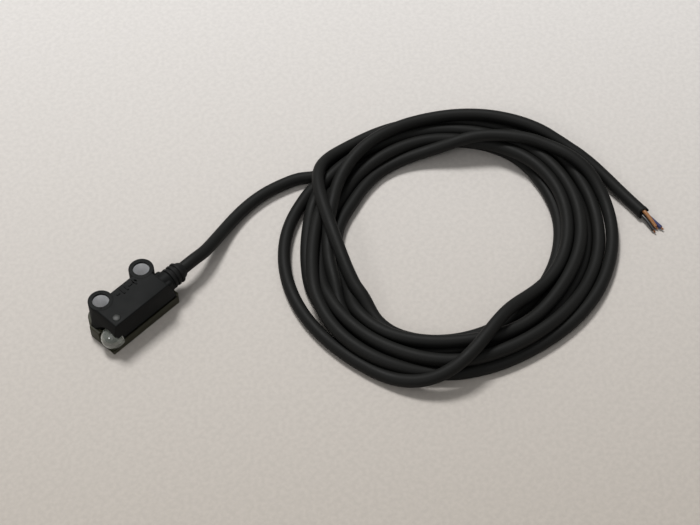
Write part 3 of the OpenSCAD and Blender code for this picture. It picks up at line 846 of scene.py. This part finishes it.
class SENSOR_OT_inner_parts(SensorOperator):
    """Give the pieces inside the head, and the seal, their finishes"""
    bl_idname = "sensor.inner_parts"
    bl_label = "Inner parts"

    def execute(self, context):
        # node: real finish, light end, dark end, grain in mm, roughness, relief in mm, shader settings
        table = {
            "joint_seal": ("silicone_seal_cut_sheet", "#454541", "#2e2e2c", 0.4, (0.5, 0.7), 0.01, {"IOR": 1.45}),
            "slit_mask": ("stainless_mask_blackened", "#3b3b3c", "#232324", 0.3, (0.4, 0.55), 0.004,
                          {"Metallic": 1.0}),
            "receiver_holder": ("glass_filled_holder_moulded", "#232323", "#141414", 0.3, (0.45, 0.6), 0.006,
                                {"IOR": 1.5}),
            "receiver_chip": ("filter_resin_cast", "#3a2740", "#221626", 0.5, (0.1, 0.2), 0.002, {"IOR": 1.55}),
            "output_led": ("amber_resin_cast", "#f3ab4b", "#d98c2c", 0.3, (0.15, 0.25), 0.002,
                           {"IOR": 1.52, "Transmission Weight": 0.4}),
            "stability_led": ("green_resin_cast", "#a9d999", "#7fb970", 0.3, (0.15, 0.25), 0.002,
                              {"IOR": 1.52, "Transmission Weight": 0.4}),
            "circuit_board": ("glass_epoxy_board_masked", "#37754e", "#255539", 0.5, (0.3, 0.45), 0.006,
                              {"IOR": 1.55}),
            "control_chip": ("epoxy_moulding_matt", "#2a2b2e", "#1a1a1c", 0.15, (0.45, 0.6), 0.004, {"IOR": 1.55}),
            "output_transistor": ("epoxy_moulding_matt", "#2a2b2e", "#1a1a1c", 0.15, (0.45, 0.6), 0.004,
                                  {"IOR": 1.55}),
            "chip_capacitors": ("ceramic_body_fired", "#b3956a", "#927650", 0.1, (0.35, 0.5), 0.003, {"IOR": 1.6}),
            "chip_resistors": ("thick_film_glazed", "#27272a", "#151517", 0.1, (0.2, 0.35), 0.002, {"IOR": 1.55}),
            "noise_shield": ("tinplate_folded", "#c9ccd0", "#a3a6ab", 0.25, (0.22, 0.38), 0.003, {"Metallic": 1.0}),
            "cable_clamp": ("tinplate_folded", "#c9ccd0", "#a3a6ab", 0.25, (0.22, 0.38), 0.003, {"Metallic": 1.0}),
            "cable_entry": ("vinyl_jacket_inside", "#30302e", "#1e1e1d", 0.35, (0.5, 0.65), 0.01, {"IOR": 1.5}),
            "brown_core": ("brown_insulation_inside", "#8e5a2c", "#6b4020", 0.4, (0.3, 0.42), 0.003, {"IOR": 1.5}),
            "blue_core": ("blue_insulation_inside", "#3559a8", "#244487", 0.4, (0.3, 0.42), 0.003, {"IOR": 1.5}),
            "black_core": ("black_insulation_inside", "#222223", "#141415", 0.4, (0.3, 0.42), 0.003, {"IOR": 1.5}),
            "solder_joints": ("solder_reflowed", "#d2d5d8", "#a9acb0", 0.2, (0.15, 0.3), 0.003, {"Metallic": 1.0}),
        }
        for node, (name, light, dark, grain, rough, bump, shader) in table.items():
            made = finish(name, linear(light), linear(dark), grain, rough, bump, shader=shader)
            piece = NODES[node]
            if not piece.material_slots:
                piece.data.materials.append(made)
            for slot in piece.material_slots:
                slot.link = "OBJECT"
                slot.material = made
        return {"FINISHED"}


class SENSOR_OT_stage(SensorOperator):
    """Lay the pale table and set the soft light"""
    bl_idname = "sensor.stage"
    bl_label = "Stage"

    def execute(self, context):
        bm = bmesh.new()
        bmesh.ops.create_grid(bm, x_segments=4, y_segments=4, size=900)
        mesh = bpy.data.meshes.new("table")
        bm.to_mesh(mesh)
        bm.free()
        mesh.transform(Matrix.Translation((-36 * MM, 22 * MM, -0.00002)) @ Matrix.Scale(MM, 4))
        table = bpy.data.objects.new("table", mesh)
        context.scene.collection.objects.link(table)
        mesh.materials.append(self.table_finish())
        lamps = (("window_light", (-0.22, -0.5, 1.1), 0.32, 12.9, "#fbfbfa"),
                 ("room_light", (0.4, 0.45, 1.2), 1.2, 2.0, "#fbf9f7"),
                 ("door_light", (0.85, 0.12, 0.72), 0.22, 1.6, "#fbfbfa"))
        for name, place, side, watts, code in lamps:
            data = bpy.data.lights.new(name, "AREA")
            data.shape = "SQUARE"
            data.size = side
            data.energy = watts
            data.color = linear(code)
            lamp = bpy.data.objects.new(name, data)
            aim = Vector((-0.035, 0.022, 0)) - Vector(place)
            lamp.matrix_world = (Matrix.Translation(place)
                                 @ Vector((0, 0, -1)).rotation_difference(aim).to_matrix().to_4x4())
            context.scene.collection.objects.link(lamp)
        world = bpy.data.worlds.new("room")
        world.use_nodes = True
        back = world.node_tree.nodes["Background"]
        back.inputs["Color"].default_value = rgba(linear("#e8e9e8"))
        back.inputs["Strength"].default_value = 0.3
        context.scene.world = world
        context.scene.view_settings.view_transform = "Standard"
        return {"FINISHED"}

    def table_finish(self):
        """Pale laminate table top: a fine print of specks, with painted shade that makes it darker and warmer
        towards the near side, where the light falls off.
        """
        c = colours().table
        made = bpy.data.materials.new("laminate_table_matt")
        made.use_nodes = True
        made.node_tree.nodes.clear()
        place = add_node(made, "ShaderNodeTexCoord")
        grain = add_node(made, "ShaderNodeTexNoise", {"Scale": 1 / (0.9 * MM), "Detail": 3.0},
                         {"Vector": (place, "Object")})
        # Painted shade: a gradient across the table darkens and warms its colour towards the near side, standing in
        # for the light falling off there
        turned_to = add_node(made, "ShaderNodeMapping",
                             {"Location": (0.42, 0, 0), "Rotation": (0, 0, math.radians(-43)), "Scale": (5, 5, 5)},
                             {"Vector": (place, "Object")})
        run = add_node(made, "ShaderNodeTexGradient", None, {"Vector": (turned_to, "Vector")})
        # The far end is the table's own pale colour, the near end a darker painted shade
        painted_falloff = add_node(made, "ShaderNodeMix", {"data_type": "RGBA", 6: rgba(shade(c, 1.0)),
                                                7: rgba(linear("#9d9285"))}, {0: (run, "Fac")})
        speck = add_node(made, "ShaderNodeMapRange", {"From Min": 0.35, "From Max": 0.65, "To Min": 0.95,
                                                      "To Max": 1.03}, {"Value": (grain, "Fac")})
        tone = add_node(made, "ShaderNodeHueSaturation", None, {"Color": (painted_falloff, 2), "Value": (speck, "Result")})
        surface = add_node(made, "ShaderNodeBsdfPrincipled", {"Roughness": 0.62, "IOR": 1.45},
                           {"Base Color": (tone, "Color")})
        add_node(made, "ShaderNodeOutputMaterial", None, {"Surface": (surface, "BSDF")})
        return made


class SENSOR_PT_panel(bpy.types.Panel):
    """Sidebar panel with the sensor's sizes, colours and pieces"""
    bl_idname = "SENSOR_PT_panel"
    bl_label = "Photoelectric sensor"
    bl_space_type = "VIEW_3D"
    bl_region_type = "UI"
    bl_category = "Sensor"

    def draw(self, context):
        layout = self.layout
        for group in (context.scene.sensor_sizes, context.scene.sensor_colours):
            for name in group.__annotations__:
                layout.prop(group, name)
        for operator in OPERATORS:
            layout.operator(operator.bl_idname)


OPERATORS = (SENSOR_OT_camera, SENSOR_OT_cut_end, SENSOR_OT_lead, SENSOR_OT_case, SENSOR_OT_marks,
             SENSOR_OT_base_cover, SENSOR_OT_sleeves, SENSOR_OT_lens, SENSOR_OT_window, SENSOR_OT_relief,
             SENSOR_OT_inner_parts, SENSOR_OT_stage)
CLASSES = (SensorSizes, SensorColours) + OPERATORS + (SENSOR_PT_panel,)


def register():
    for made in CLASSES:
        bpy.utils.register_class(made)
    bpy.types.Scene.sensor_sizes = bpy.props.PointerProperty(type=SensorSizes)
    bpy.types.Scene.sensor_colours = bpy.props.PointerProperty(type=SensorColours)


def unregister():
    del bpy.types.Scene.sensor_colours
    del bpy.types.Scene.sensor_sizes
    for made in reversed(CLASSES):
        bpy.utils.unregister_class(made)


def main():
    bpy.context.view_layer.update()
    register()
    for operator in OPERATORS:
        group, name = operator.bl_idname.split(".")
        getattr(getattr(bpy.ops, group), name)()


if __name__ == "__main__":
    main()
